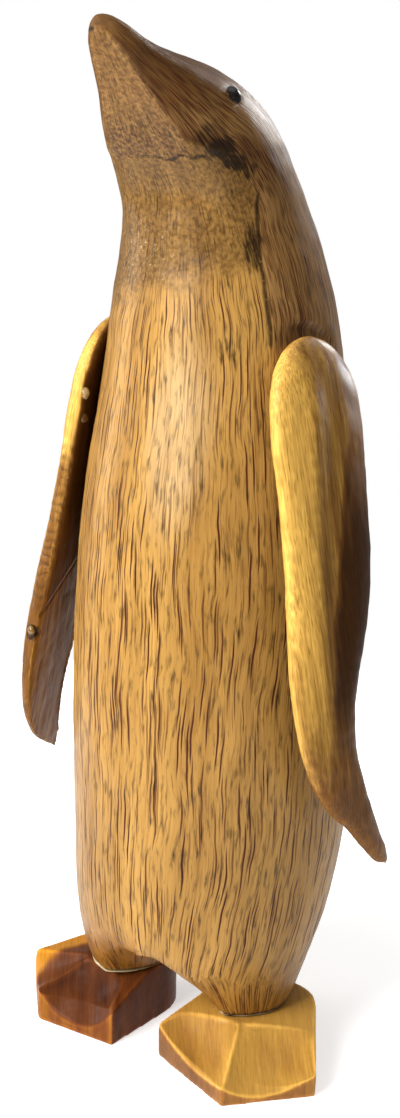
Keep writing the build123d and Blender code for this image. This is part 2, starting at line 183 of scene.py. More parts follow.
def bamboo_root_material():
    """Bamboo root, carved, sanded and lacquered. The knife opens the dark fibre bundles as dashes along
    the trunk and as dots on the chin, the rind stays smooth on the neck, and the lacquer gives a soft shine."""
    c = colours()
    material, add = start_material("lacquered_bamboo_root")
    fibre = add("Attribute", attribute_name="fibre").outputs["Vector"]
    zone = add("Attribute", attribute_name="zone_colour").outputs["Color"]
    painted = "dash_share fine_share streak_share dot_share fleck_share rind dark_stain line_distance".split()
    dash_share, fine_share, streak_share, dot_share, fleck_share, rind, stain, line_distance = (
        add("Attribute", attribute_name=name).outputs["Fac"] for name in painted
    )

    # Bundles wander by 2 or 3 mm over 10 to 40 mm
    strand = fibre
    for across, along, sway in ((26, 46, 5), (8, 15, 1.6)):
        drift = add("Mapping", {"Vector": fibre, "Scale": per_mm(across, across, along)})
        drift = add("TexNoise", {"Vector": drift, "Scale": 1, "Detail": 1})
        drift = add("VectorMath", {0: drift.outputs["Color"], 1: (0.5, 0.5, 0.5)}, operation="SUBTRACT")
        strand = add("VectorMath", {0: drift, 1: (sway * MM, sway * MM, 0), 2: strand}, operation="MULTIPLY_ADD")

    # They wander sideways only: each one goes back to its own depth under the surface
    radius = add("VectorMath", {0: fibre, 1: (1, 1, 0)}, operation="MULTIPLY")
    radius = add("VectorMath", {0: radius}, operation="LENGTH")
    round_it = add("VectorMath", {0: strand, 1: (1, 1, 0)}, operation="MULTIPLY")
    round_it = add("VectorMath", {0: round_it}, operation="NORMALIZE")
    round_it = add("VectorMath", {0: round_it, "Scale": radius.outputs["Value"]}, operation="SCALE")
    strand = add("VectorMath", {0: strand, 1: (0, 0, 1), 2: round_it}, operation="MULTIPLY_ADD")

    # Open bundles: dashes about 0.7 mm wide and up to 30 mm long, fine ones between them, and the head's short ones
    layers = []
    for across, along, wide, narrow, share in (
        (0.92, 40, 0.41, 0.25, dash_share),
        (0.7, 22, 0.38, 0.14, fine_share),
        (0.9, 9, 0.54, 0.3, streak_share),
    ):
        cells = add("Mapping", {"Vector": strand, "Scale": per_mm(across, across, along)})
        cells = add("TexVoronoi", {"Vector": cells, "Scale": 1, "Randomness": 0.9})
        cut = add(
            "MapRange", {0: cells.outputs["Distance"], 1: wide, 2: narrow, 3: 0, 4: 1}, interpolation_type="SMOOTHSTEP"
        )
        deep = add("SeparateColor", {0: cells.outputs["Color"]})
        deep = add("MapRange", {0: deep, 1: 0, 2: 0.6, 3: 0.55, 4: 1})
        cut = add("Math", {0: cut, 1: deep}, operation="MULTIPLY")
        layers.append(add("Math", {0: cut, 1: share}, operation="MULTIPLY"))
    dashes = layers[0]
    for layer in layers[1:]:
        dashes = add("Math", {0: dashes, 1: layer}, operation="MAXIMUM")

    # Silky lines 1 mm apart and broad streaks 15 mm wide lighten and deepen the wood
    silk = add("Mapping", {"Vector": strand, "Scale": per_mm(0.9, 0.9, 30)})
    silk = add("TexNoise", {"Vector": silk, "Scale": 1, "Detail": 3})
    broad = add("Mapping", {"Vector": strand, "Scale": per_mm(14, 14, 110)})
    broad = add("TexNoise", {"Vector": broad, "Scale": 1, "Detail": 3})
    tone = add("Math", {0: silk.outputs["Fac"], 1: 0.5, 2: broad.outputs["Fac"]}, operation="MULTIPLY_ADD")
    tone = add(
        "ValToRGB", {0: tone}, stops=[(0.5, (0.72, 0.66, 0.56, 1)), (0.75, (1, 1, 1, 1)), (1, (1.3, 1.34, 1.42, 1))]
    )
    base = add("Mix", {0: 1, 6: zone, 7: tone}, data_type="RGBA", blend_type="MULTIPLY")

    place = add("TexCoord").outputs["Object"]
    mottle = add("TexNoise", {"Vector": place, "Scale": per_mm(1.5)[0], "Detail": 4})
    mottle = add(
        "ValToRGB",
        {0: mottle.outputs["Fac"]},
        stops=[(0.36, (0.45, 0.38, 0.32, 1)), (0.5, (1, 1, 1, 1)), (0.64, (1.5, 1.54, 1.6, 1))],
    )
    smooth = add("Math", {0: rind, 1: 0.6, 2: dot_share}, operation="MULTIPLY_ADD")
    base = add("Mix", {0: smooth, 6: base.outputs[2], 7: mottle}, data_type="RGBA", blend_type="MULTIPLY")

    # Neck: a rind with pale flecks and a fine stipple; chin: bundles cut across, seen as dots
    stipple = add("Mapping", {"Vector": place, "Scale": per_mm(1.3, 1.3, 1.6)})
    stipple = add("TexNoise", {"Vector": stipple, "Scale": 1, "Detail": 3})
    fleck = add("MapRange", {0: stipple.outputs["Fac"], 1: 0.6, 2: 0.72, 3: 0, 4: 0.55})
    fleck = add("Math", {0: fleck, 1: fleck_share}, operation="MULTIPLY")
    base = add("Mix", {0: fleck, 6: base.outputs[2], 7: c.fleck}, data_type="RGBA")
    dots = add("Mapping", {"Vector": place, "Scale": per_mm(0.9, 1.1, 1.1)})
    dots = add("TexVoronoi", {"Vector": dots, "Scale": 1})
    dots = add("MapRange", {0: dots.outputs["Distance"], 1: 0.5, 2: 0.2, 3: 0, 4: 0.5})
    dots = add("Math", {0: dots, 1: dot_share}, operation="MULTIPLY")
    marks = add("Math", {0: dashes, 1: dots}, operation="MAXIMUM")
    base = add("Mix", {0: marks, 6: base.outputs[2], 7: c.root_dash}, data_type="RGBA")
    # Stains break up along the fibres
    smoke = add("Mapping", {"Vector": strand, "Scale": per_mm(1.1, 1.1, 8)})
    smoke = add("TexNoise", {"Vector": smoke, "Scale": 1, "Detail": 3})
    smoke = add("Math", {0: smoke.outputs["Fac"], 1: 2.6, 2: -1.2}, operation="MULTIPLY_ADD")
    smoke = add("Math", {0: smoke, 1: stain}, operation="ADD")
    smoke = add("MapRange", {0: smoke, 1: 0.15, 2: 0.8, 3: 0, 4: 0.88})
    thin = add("MapRange", {0: line_distance, 1: 1, 2: 0.3, 3: 0, 4: 0.85})
    smoke = add("Math", {0: smoke, 1: thin}, operation="MAXIMUM")
    base = add("Mix", {0: smoke, 6: base.outputs[2], 7: c.stain}, data_type="RGBA")

    rough = add("MapRange", {0: dashes, 1: 0, 2: 1, 3: 0.36, 4: 0.6})
    grain = add("Math", {0: marks, 1: -0.6, 2: silk.outputs["Fac"]}, operation="MULTIPLY_ADD")
    pits = add("Math", {0: stipple.outputs["Fac"], 1: rind}, operation="MULTIPLY")
    height = add("Math", {0: grain, 1: pits}, operation="ADD")
    height = add("Math", {0: height, 1: thin}, operation="SUBTRACT")
    bump = add("Bump", {"Strength": 0.5, "Distance": 0.4 * MM, "Height": height})
    shader = add(
        "BsdfPrincipled",
        {
            "Base Color": base.outputs[2],
            "Roughness": rough,
            "Normal": bump,
            "Specular IOR Level": 0.15,
            "Coat Weight": 0.06,
            "Coat Roughness": 0.28,
        },
    )
    add("OutputMaterial", {"Surface": shader})
    return material


def plank_wood_material(name, pale, mid, dark, band, shine, pore):
    """Plank hardwood, sawn, carved and lacquered. Long pores run along the grain, and the brown heartwood
    meets the pale sapwood in a streaky border."""
    material, add = start_material(name)
    grain = add("Attribute", attribute_name="fibre").outputs["Vector"]
    heart = add("Attribute", attribute_name="heartwood").outputs["Fac"]
    # Growth bands from their real spacing, and pores about twice as wide as real ones, so that they show
    bands = add("Mapping", {"Vector": grain, "Scale": per_mm(band, band, band * 18)})
    bands = add("TexNoise", {"Vector": bands, "Scale": 1, "Detail": 4})
    lines = add("Mapping", {"Vector": grain, "Scale": per_mm(0.7, 0.7, 16)})
    lines = add("TexNoise", {"Vector": lines, "Scale": 1, "Detail": 2})
    pores = add("Mapping", {"Vector": grain, "Scale": per_mm(0.75, 0.75, 9)})
    pores = add("TexVoronoi", {"Vector": pores, "Scale": 1})
    pores = add("MapRange", {0: pores.outputs["Distance"], 1: 0.34, 2: 0.14, 3: 0, 4: pore})
    streaks = add("Math", {0: bands.outputs["Fac"], 1: 0.5}, operation="SUBTRACT")
    shade = add("Math", {0: streaks, 1: 0.55, 2: heart}, operation="MULTIPLY_ADD")
    base = add("ValToRGB", {0: shade}, stops=[(0.08, pale), (0.5, mid), (0.9, dark)])
    fine = add(
        "ValToRGB",
        {0: lines.outputs["Fac"]},
        stops=[(0.3, (1 - 0.8 * pore, 1 - 0.92 * pore, 1 - 1.1 * pore, 1)), (0.6, (1.1, 1.1, 1.1, 1))],
    )
    base = add("Mix", {0: 1, 6: base, 7: fine}, data_type="RGBA", blend_type="MULTIPLY")
    base = add("Mix", {0: pores, 6: base.outputs[2], 7: dark}, data_type="RGBA")
    # Painted shade darkens the hollows, and ridges and rims are painted pale: rubbed lacquer and a painted highlight
    edge = add("Attribute", attribute_name="standing_out").outputs["Fac"]
    hollow_shade_and_rubbed_rim_highlight = add(
        "ValToRGB",
        {0: edge},
        stops=[(0, (0.5, 0.42, 0.34, 1)), (0.42, (1, 1, 1, 1)), (0.58, (1, 1, 1, 1)), (1, (1.5, 1.55, 1.65, 1))],
    )
    base = add("Mix", {0: 1, 6: base.outputs[2], 7: hollow_shade_and_rubbed_rim_highlight}, data_type="RGBA", blend_type="MULTIPLY")
    rough = add("MapRange", {0: lines.outputs["Fac"], 1: 0.3, 2: 0.7, 3: 0.44, 4: 0.33})
    height = add("Math", {0: lines.outputs["Fac"], 1: pores}, operation="SUBTRACT")
    bump = add("Bump", {"Strength": 0.4, "Distance": 0.3 * MM, "Height": height})
    shader = add(
        "BsdfPrincipled",
        {
            "Base Color": base.outputs[2],
            "Roughness": rough,
            "Normal": bump,
            "Specular IOR Level": shine,
            "Coat Weight": shine / 2,
            "Coat Roughness": 0.24,
        },
    )
    add("OutputMaterial", {"Surface": shader})
    return material


def glue_material():
    """Wood glue, squeezed out and dried: cream, a little yellowed, glossy and uneven."""
    c = colours()
    material, add = start_material("dried_wood_glue")
    place = add("TexCoord").outputs["Object"]
    cloud = add("TexNoise", {"Vector": place, "Scale": per_mm(6)[0], "Detail": 3})
    cream = add("Attribute", attribute_name="cream").outputs["Fac"]
    thick = add("Math", {0: cloud.outputs["Fac"], 1: cream}, operation="ADD")
    tone = add("ValToRGB", {0: thick}, stops=[(0.3, linear("#4A2E12")), (0.5, linear("#8A6A34")), (0.85, c.glue)])
    shader = add("BsdfPrincipled", {"Base Color": tone, "Roughness": 0.18, "IOR": 1.48, "Coat Weight": 0.15})
    add("OutputMaterial", {"Surface": shader})
    return material


def bead_material():
    """Black glass bead, pressed: a hard shine over a slightly pitted black."""
    c = colours()
    material, add = start_material("pressed_black_glass_bead")
    place = add("TexCoord").outputs["Object"]
    pit = add("TexNoise", {"Vector": place, "Scale": per_mm(1.2)[0], "Detail": 3})
    tone = add("ValToRGB", {0: pit.outputs["Fac"]}, stops=[(0.4, c.bead), (0.75, linear("#2A211B"))])
    bump = add("Bump", {"Strength": 0.4, "Distance": 0.2 * MM, "Height": pit.outputs["Fac"]})
    shader = add(
        "BsdfPrincipled",
        {"Base Color": tone, "Normal": bump, "Roughness": 0.16, "Specular IOR Level": 0.3, "IOR": 1.52},
    )
    add("OutputMaterial", {"Surface": shader})
    return material


def dowel_material():
    """Beech dowel, turned: pale wood with short dark flecks."""
    c = colours()
    material, add = start_material("turned_beech_dowel")
    place = add("TexCoord").outputs["Object"]
    fleck = add("TexNoise", {"Vector": place, "Scale": per_mm(1.5)[0], "Detail": 4})
    tone = add(
        "ValToRGB", {0: fleck.outputs["Fac"]}, stops=[(0.35, [v * 0.6 for v in c.dowel[:3]] + [1]), (0.55, c.dowel)]
    )
    shader = add("BsdfPrincipled", {"Base Color": tone, "Roughness": 0.65})
    add("OutputMaterial", {"Surface": shader})
    return material


def floor_material():
    """Studio paper, matt white and lit through from behind."""
    material, add = start_material("backlit_studio_paper")
    place = add("TexCoord").outputs["Object"]
    # The paper's tooth is drawn coarser than it is, so that it shows
    tooth = add("TexNoise", {"Vector": place, "Scale": per_mm(3)[0], "Detail": 2})
    bump = add("Bump", {"Strength": 0.05, "Distance": 0.2 * MM, "Height": tooth.outputs["Fac"]})
    away = add("VectorMath", {0: place}, operation="LENGTH")
    glow = add("MapRange", {0: away.outputs["Value"], 1: 0.12, 2: 0.5, 3: 0.52, 4: 1})
    shader = add(
        "BsdfPrincipled",
        {
            "Normal": bump,
            "Base Color": colours().floor,
            "Emission Strength": glow,
            "Emission Color": (1, 1, 1, 1),
            "Roughness": 0.9,
        },
    )
    add("OutputMaterial", {"Surface": shader})
    return material


def new_piece(name, mesh):
    """A new object for a mesh, in the scene."""
    piece = bpy.data.objects.new(name, mesh)
    bpy.context.collection.objects.link(piece)
    return piece


def make_mesh(name, shape):
    """Turns a finished bmesh into a mesh."""
    mesh = bpy.data.meshes.new(name)
    shape.to_mesh(mesh)
    shape.free()
    return mesh


def rub(mesh, chosen, rounds, level=False):
    """Rubs the chosen points smoother, and only sideways where they have to keep their level."""
    rubbed = bmesh.new()
    rubbed.from_mesh(mesh)
    rubbed.verts.ensure_lookup_table()
    points = [rubbed.verts[i] for i in np.flatnonzero(chosen)]
    for _ in range(rounds):
        bmesh.ops.smooth_vert(
            rubbed, verts=points, factor=0.5, use_axis_x=True, use_axis_y=True, use_axis_z=not level
        )
    rubbed.to_mesh(mesh)
    rubbed.free()


def carve_blank(node, name, grid, rounds):
    """A carving blank: the merged copy of a CAD piece, cut to an even grid of points and rubbed smooth."""
    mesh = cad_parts[node].data.copy()
    blank = bmesh.new()
    blank.from_mesh(mesh)
    bmesh.ops.remove_doubles(blank, verts=blank.verts, dist=0.002 * MM)
    blank.to_mesh(mesh)
    blank.free()
    mesh.materials.clear()
    piece = new_piece(name, mesh)
    remesh = piece.modifiers.new("even_grid", "REMESH")
    remesh.mode = "VOXEL"
    remesh.voxel_size = grid
    graph = bpy.context.evaluated_depsgraph_get()
    even = bpy.data.meshes.new_from_object(piece.evaluated_get(graph))
    if not even.polygons:
        raise RuntimeError(f"{node} gave no surface to carve")
    piece.modifiers.clear()
    piece.data = even
    rub(even, np.full(len(even.vertices), True), rounds)
    even.shade_smooth()
    return piece


def points_and_normals(mesh):
    """Every point of a mesh, in millimetres, and its normal."""
    count = len(mesh.vertices)
    points = np.empty(count * 3)
    normals = np.empty(count * 3)
    mesh.vertices.foreach_get("co", points)
    mesh.vertex_normals.foreach_get("vector", normals)
    return points.reshape(-1, 3) / MM, normals.reshape(-1, 3)


def move_points(mesh, points):
    """Puts points, in millimetres, back in the mesh."""
    mesh.vertices.foreach_set("co", (points * MM).ravel())
    mesh.update()


def paint(mesh, name, values, place="POINT"):
    """Stores a number, or a vector in metres, at every point or face corner for the material to read."""
    if values.ndim == 1:
        layer = mesh.attributes.new(name, "FLOAT", place)
        layer.data.foreach_set("value", values.astype(np.float32))
    else:
        layer = mesh.attributes.new(name, "FLOAT_VECTOR", place)
        layer.data.foreach_set("vector", values.astype(np.float32).ravel())


def ease(low, high, value):
    """A smooth step from 0 to 1."""
    t = np.clip((value - low) / (high - low), 0, 1)
    return t * t * (3 - 2 * t)


def rough_field(points, size, seed):
    """Smooth noise, about -1 to 1, that changes over so many millimetres."""
    shift = Vector((seed * 17.3, seed * 7.9, seed * 3.1))
    return np.array([noise.noise(Vector(p) / size + shift) for p in points])


# Across the body, the millimetre that parts the left leg from the right one
BETWEEN_LEGS = -3

# Radius in millimetres of the rods that the fibres of the body and of a leg are drawn in to
BODY_ROD, LEG_ROD = 45, 27

# The fibres' line up the body, in millimetres: along Y, along Z and degrees that it leans forward
FIBRE_LINE = [
    (6.4, 15, -4),
    (13, 142, -1.2),
    (15.7, 285, 3),
    (11.7, 314.5, 11.4),
    (4.9, 339.6, 21.5),
    (-5.7, 359.7, 38),
    (-21.3, 373.7, 52),
    (-52.5, 394.4, 56),
    (-68, 405, 56),
]


def straighten(points):
    """Places along straightened fibres, drawn in to one rod: across it, front to back, and up the bent line."""
    line = np.array(FIBRE_LINE, float)
    lean = np.radians(line[:, 2])
    along = np.stack([-np.sin(lean), np.cos(lean)], 1)
    back = np.stack([np.cos(lean), np.sin(lean)], 1)
    run = np.concatenate([[0], np.cumsum(np.hypot(np.diff(line[:, 0]), np.diff(line[:, 1])))])
    offset = points[:, None, 1:] - line[None, :, :2]
    rise = (offset * along[None]).sum(2)
    depth = (offset * back[None]).sum(2)
    step = np.clip((rise >= 0).sum(1) - 1, 0, len(line) - 2)
    rows = np.arange(len(points))
    below = rise[rows, step]
    above = rise[rows, step + 1]
    share = below / np.maximum(below - above, 1e-6)
    share = np.where(rise[:, 0] < 0, below / (run[1] - run[0]), share)
    share = np.clip(share, -1, 2)
    up = run[step] + share * (run[step + 1] - run[step])
    inside = np.clip(share, 0, 1)
    deep = depth[rows, step] * (1 - inside) + depth[rows, step + 1] * inside
    # Below, the rod leans over to the right leg
    across = points[:, 0] - np.interp(up, [0, 75, 150], [-6.7, -2, -1.2])
    rod = BODY_ROD / np.maximum(np.hypot(across, deep), 4)
    return np.stack([across * rod, deep * rod, up], 1)


def leg_fibres(points):
    """Places along the fibres of the legs, each drawn in to its own rod."""
    ankles = [np.mean(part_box(f"{hand}_ankle_glue"), axis=0) / MM for hand in ("left", "right")]
    middle = np.where(points[:, :1] > BETWEEN_LEGS, ankles[0][None, :2], ankles[1][None, :2])
    around = points[:, :2] - middle
    around = around * LEG_ROD / np.maximum(np.hypot(*around.T), 2)[:, None]
    return np.column_stack([around, points[:, 2] + middle[:, 0]])


def spot(points, place, radius):
    """1 at a place, fading to 0 at a radius in millimetres."""
    return 1 - ease(0.35, 1, np.linalg.norm((points - np.array(place)) / np.array(radius), axis=1))


def blend(colour, other, share):
    """Mixes painted colours point by point."""
    return colour + (np.array(other[:3]) - colour) * share[:, None]


# Dark stains on the left cheek and neck in millimetres: place, radius and strength
STAINS = (
    ((28, -13, 328), (6, 5, 13), 0.62),
    ((21.7, -32.4, 367), (8, 9, 6), 0.6),
    ((23.8, -27.5, 363), (9, 9, 7), 0.95),
    ((26, -21.5, 357.5), (8, 8, 5), 1),
    ((27.3, -17.5, 354), (6, 6, 4), 0.6),
)


def paint_body(piece):
    """Paints the zones of the body: bare trunk, smooth neck, sawn chin, brown head and dark marks."""
    mesh = piece.data
    c = colours()
    points, normals = points_and_normals(mesh)
    x, y, z = points.T
    ragged = rough_field(points, 7, 1) * 4 + rough_field(points, 3, 2) * 2
    # Trunk and legs have fibres of their own, which change over from one face to the next
    corners = np.empty(len(mesh.loops), int)
    mesh.loops.foreach_get("vertex_index", corners)
    starts = np.empty(len(mesh.polygons), int)
    mesh.polygons.foreach_get("loop_start", starts)
    fork = np.where(x < BETWEEN_LEGS, 50, 40) + 2 * ragged
    on_leg = (z < fork)[corners[starts]]
    on_leg = np.repeat(on_leg, np.diff(np.append(starts, len(corners))))
    fibres = np.where(on_leg[:, None], leg_fibres(points)[corners], straighten(points)[corners])
    paint(mesh, "fibre", fibres * MM, "CORNER")
    chin_slope = np.array([0, -0.78, -0.63])
    chin_face = ease(0.9, 0.97, normals @ chin_slope) * ease(340, 346, z)
    chin = chin_face * ease(-1.5, 1.5, z - 359 + ragged * 0.4)
    # The brown wood's front border on each side: from the chin's edge down along a drying crack
    border = np.interp(z, [250, 299, 324, 345, 357, 362, 364, 370], [-5, -10.5, -10.4, -11.3, -18, -25, -33, -90])
    behind = ease(-2, 2.5, y - border + ragged * 0.35) * (1 - chin_face)
    nape = behind * ease(255, 305, z + ragged * 2)
    head = behind * ease(338, 362, z - 0.45 * (y - border) + ragged)
    trunk_top = 314 + 0.25 * x + ragged * 1.2
    rind = (1 - behind) * ease(-7, 6, z - trunk_top) * (1 - chin)
    leg_end = np.where(x < BETWEEN_LEGS, ease(64, 40, z + ragged), 0.7 * ease(52, 24, z + ragged))

    zone = np.tile(np.array(c.trunk[:3]), (len(points), 1))
    # The breast is painted paler and with fewer dashes: paler wood under a painted sheen
    pale = spot(points, (10, -33, 262), (17, 30, 54))
    zone = blend(zone, c.pale_sheen_front, pale * 0.45)
    zone = blend(zone, c.neck, rind)
    zone = blend(zone, c.nape, nape * 0.9)
    zone = blend(zone, c.head, head)
    zone = blend(zone, c.chin, np.maximum(chin, 0.6 * ease(393, 402, z)))
    zone = zone * (1 - 0.3 * chin * ease(384, 362, z))[:, None]
    zone = blend(zone, c.leg_end, leg_end * 0.85)
    # Painted shade: the left side, turned away from the key light, and the lower trunk and thighs are painted darker
    painted_shade = 0.22 * ease(0.4, 0.95, normals[:, 0]) * ease(290, 250, z) + 0.12 * ease(150, 80, z)
    zone = zone * (1 - painted_shade)[:, None]
    paint(mesh, "zone_colour", zone)

    bare = 1 - ease(-9, 5, z - trunk_top)
    patch = np.maximum(spot(points, (41.4, -17, 237), (9, 9, 9)), spot(points, (45.3, -20, 149.5), (9, 9, 11)))
    # No dash ends at a straight line where the legs' fibres begin
    bare = bare * (1 - 0.85 * np.exp(-(((z - fork) / 4) ** 2)))
    trunk_dashes = bare * (1 - patch * 0.8) * (1 - 0.5 * pale)
    paint(mesh, "dash_share", np.clip(trunk_dashes + nape * 0.7, 0, 1) * (1 - chin_face) * (1 - head))
    paint(mesh, "fine_share", np.clip(0.42 * bare + 0.4 * nape, 0, 1) * (1 - chin))
    paint(mesh, "streak_share", np.clip(head + 0.6 * nape, 0, 1) * (1 - chin))
    paint(mesh, "dot_share", chin * (0.65 + 0.35 * ease(378, 364, z)))
    paint(mesh, "rind", rind)
    paint(mesh, "fleck_share", rind * spot(points, (-12, -26, 325), (24, 20, 18)))

    # Distance to the drying crack, the root's node line and a split in the bill, too thin for the painted points
    crack_y = np.interp(z, [299, 324, 345], [-10.5, -10.4, -11.3])
    past = np.maximum(np.maximum(294 - z, z - 347), 0) * 0.2
    crack = np.where(x > 12, np.abs(y - crack_y + ragged * 0.1) + past, 9)
    past = np.maximum(x - 20, 0) * 0.3 + np.maximum(4 - x, 0) * 0.035
    node_line = np.where((y < -18) & (z > 345), np.abs(z - 359 + ragged * 0.5) + past, 9)
    split = np.where(y < -56, np.abs(z - 400.5 + ragged * 0.1) + np.maximum(x + 3, 0) * 0.6, 9)
    paint(mesh, "line_distance", np.minimum.reduce([crack, node_line, split]))
    joint = ease(3, 0, z - np.where(x < BETWEEN_LEGS, 25, 20.4))
    blurred = points + np.stack([0 * z, ragged * 0.5, ragged * 0.9], 1)
    stains = [spot(blurred, place, radius) * strength for place, radius, strength in STAINS]
    stains += [joint * 0.8, spot(points, (24.3, -22.6, 291), (5, 5, 8)) * 0.34]
    paint(mesh, "dark_stain", np.maximum.reduce(stains))


def standing_out(mesh, lift):
    """How far each point stands out of its neighbours: 1 on a ridge, 0.5 on a flat and 0 in a groove."""
    points, normals = points_and_normals(mesh)
    ends = np.empty(len(mesh.edges) * 2, int)
    mesh.edges.foreach_get("vertices", ends)
    here, there = np.concatenate([ends.reshape(-1, 2), ends.reshape(-1, 2)[:, ::-1]]).T
    count = np.bincount(here, minlength=len(points))
    middle = np.stack([np.bincount(here, points[there, i], len(points)) for i in range(3)], 1) / count[:, None]
    out = ((points - middle) * normals).sum(1)
    for _ in range(4):
        out = 0.5 * out + 0.5 * np.bincount(here, out[there], len(points)) / count
    return np.clip(0.5 + 0.5 * out / lift, 0, 1)


def paint_plank(piece, directions, points, heart):
    """Paints a plank wood piece: its own grain directions, how much of it is heartwood (on the feet with painted shade
    added), and how far each point stands out, for painted shade in hollows and rubbed, highlighted ridges.
    """
    paint(piece.data, "fibre", points @ np.array(directions).T * MM)
    paint(piece.data, "heartwood", heart)
    paint(piece.data, "standing_out", standing_out(piece.data, lift=0.035))


def coat(piece, material):
    """Gives a piece its one material."""
    piece.data.materials.clear()
    piece.data.materials.append(material)


def dress(piece, material, slot, *nodes):
    """Gives a finished piece its material and its place in the frame."""
    coat(piece, material)
    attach(piece, "root")
    if nodes:
        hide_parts(*nodes)


def carve_unevenly(piece, size, seed, share=1):
    """Leaves the slight unevenness of hand carving all over a piece."""
    points, normals = points_and_normals(piece.data)
    depth = bpy.context.scene.penguin_sizes.carving_depth / MM
    uneven = rough_field(points, size, seed) + 0.5 * rough_field(points, size / 3, seed + 1)
    carved = points + normals * (uneven * depth * share)[:, None]
    carved[:, 2] = np.maximum(carved[:, 2], 0)
    move_points(piece.data, carved)


# Rubbing the legs: the height in millimetres that it goes up to, and its rounds
LEG_RUBS = ((86, 8), (76, 14), (66, 20), (58, 26), (51, 26), (44, 20), (38, 12), (32, 8))


class PENGUIN_OT_body(bpy.types.Operator):
    """Carve the body from its CAD blank and paint its wood"""

    bl_idname = "penguin.body"
    bl_label = "Carve Body"

    def execute(self, context):
        sizes = context.scene.penguin_sizes
        piece = carve_blank("body", "bamboo_root_body", sizes.body_grid, rounds=3)
        # The legs' corners are rubbed round, more and more towards the feet
        for top, rounds in LEG_RUBS:
            points, _ = points_and_normals(piece.data)
            rub(piece.data, points[:, 2] < top, rounds, level=True)
        # The throat's chisel cuts are rubbed into one hollow
        _, y, z = points_and_normals(piece.data)[0].T
        throat = (z > 300) & (z < 362) & (y < -8)
        rub(piece.data, throat, rounds=60)
        carve_unevenly(piece, size=16, seed=3)
        paint_body(piece)
        dress(piece, bamboo_root_material(), "bamboo_root", "body")
        return {"FINISHED"}


def wing_grain(side, flare):
    """A wing's own directions: across, front to back and up its length, which flares out below."""
    out, up = math.cos(math.radians(flare)), math.sin(math.radians(flare))
    return [(side * out, 0, up), (0, 1, 0), (-side * up, 0, out)]


def rear_heartwood(points):
    """A stripe of heartwood that starts halfway down a wing and widens to its rear edge and tip."""
    y, z = points[:, 1], points[:, 2]
    ragged = rough_field(points * np.array([1, 1, 0.15]), 5, 17) * 2.5
    front = np.interp(z, [100, 136, 165, 192, 219, 250, 285], [-22, -20, -19.5, -14, -6, 1.6, 9])
    behind = ease(-3.5, 3.5, y - front + ragged)
    stripe = behind * (0.5 + 0.5 * ease(262, 205, z + ragged * 3)) * (1 - 0.48 * ease(180, 135, z))
    tongue = 0.85 * np.exp(-(((y - front - 3.5) / 3.5) ** 2)) * ease(268, 240, z) * ease(190, 215, z)
    # Behind the ridge the wood is painted mid brown, partly as painted shade on the side turned away from the key
    # light
    mid_tone_and_shade = 0.4 * ease(-9, 4, y - np.interp(z, [160, 189, 221, 257, 278], [-22, -21, -16, -11.5, -7.7]))
    tip = 0.2 * ease(225, 165, z) + 0.42 * ease(165, 118, z)
    return np.maximum.reduce([stripe, tongue, mid_tone_and_shade, tip])


def right_heartwood(points, normals):
    """The right wing: sapwood on the upper front edge, and its inner face painted dark, heartwood and painted shade
    where it faces the body, paler near the tip.
    """
    z = points[:, 2]
    inner = ease(0.55, 0.85, normals[:, 0])
    edge = ease(0.6, 0.9, -normals[:, 1])
    below = ease(1, -1, z - bevel_line(points))
    heart = rear_heartwood(points)
    heart = heart * (1 - edge) + edge * (0.5 * ease(252, 238, z) + 0.12 * ease(200, 180, z))
    # Painted shade on the inner face: darker high up against the body, lighter on the facet below the step
    heart = heart * (1 - inner) + inner * (0.68 - 0.22 * below + 0.25 * ease(200, 235, z))
    return np.maximum(heart, spot(points, (-65.5, -25, 170), (6, 6, 6)))


def bevel_line(points):
    """Height of the slanting step inside the right wing, by the distance along Y."""
    return 194.6 + 0.91 * (points[:, 1] + 4.9)


def shape_left_wing(piece):
    """A soft ridge down the left wing's outer face, with a shallow hollow behind it."""
    points, normals = points_and_normals(piece.data)
    y, z = points[:, 1], points[:, 2]
    ridge = np.interp(z, [160, 189, 221, 257, 278], [-22, -20.9, -16, -11.5, -7.7])
    outer = ease(0.5, 0.8, normals[:, 0]) * ease(150, 185, z) * ease(290, 268, z)
    rise = 0.9 * np.exp(-(((y - ridge) / 4) ** 2)) - 0.7 * np.exp(-(((y - ridge - 9) / 6) ** 2))
    move_points(piece.data, points + normals * (rise * outer)[:, None])


def shape_right_wing(piece):
    """A straight rear edge and a step inside the right wing near its tip, a knot hole, and tool marks in front."""
    points, _ = points_and_normals(piece.data)
    y, z = points[:, 1], points[:, 2]
    # Front and rear edge as the blank has them, and the rear edge as it is cut
    heights = [100, 112, 120, 128, 136, 144, 152, 160, 168, 176, 192]
    front = np.interp(z, heights, [10, -2, -12, -18, -22, -24, -25.5, -26, -26, -25.5, -24])
    rear = np.interp(z, heights, [20, 17.2, 13.4, 9.1, 5.9, 4.1, 4, 5.7, 8.6, 12.1, 19.6])
    straight = np.interp(z, heights, [18, 13.6, 10.6, 8.4, 7.2, 6.8, 7, 8.4, 10.6, 13.4, 19.6])
    points[:, 1] = y + (straight - rear) * np.clip((y - front) / np.maximum(rear - front, 4), 0, 1)
    move_points(piece.data, points)
    points, normals = points_and_normals(piece.data)
    inner = ease(0.6, 0.9, normals[:, 0])
    below = ease(0.5, -0.5, z - bevel_line(points))
    groove = np.exp(-(((z - bevel_line(points)) / 1.2) ** 2))
    edge = ease(0.4, 0.8, -normals[:, 1]) * ease(180, 190, z) * ease(255, 240, z)
    marks = np.sin(z * 1.7 + 6 * rough_field(points, 8, 21)) * (0.16 + 0.14 * rough_field(points, 6, 22))
    hole = spot(points, (-65.5, -25.5, 170), (4.5, 4.5, 4)) * 2.2
    depth = -0.9 * inner * below - 0.8 * inner * groove + edge * marks - hole
    move_points(piece.data, points + normals * depth[:, None])


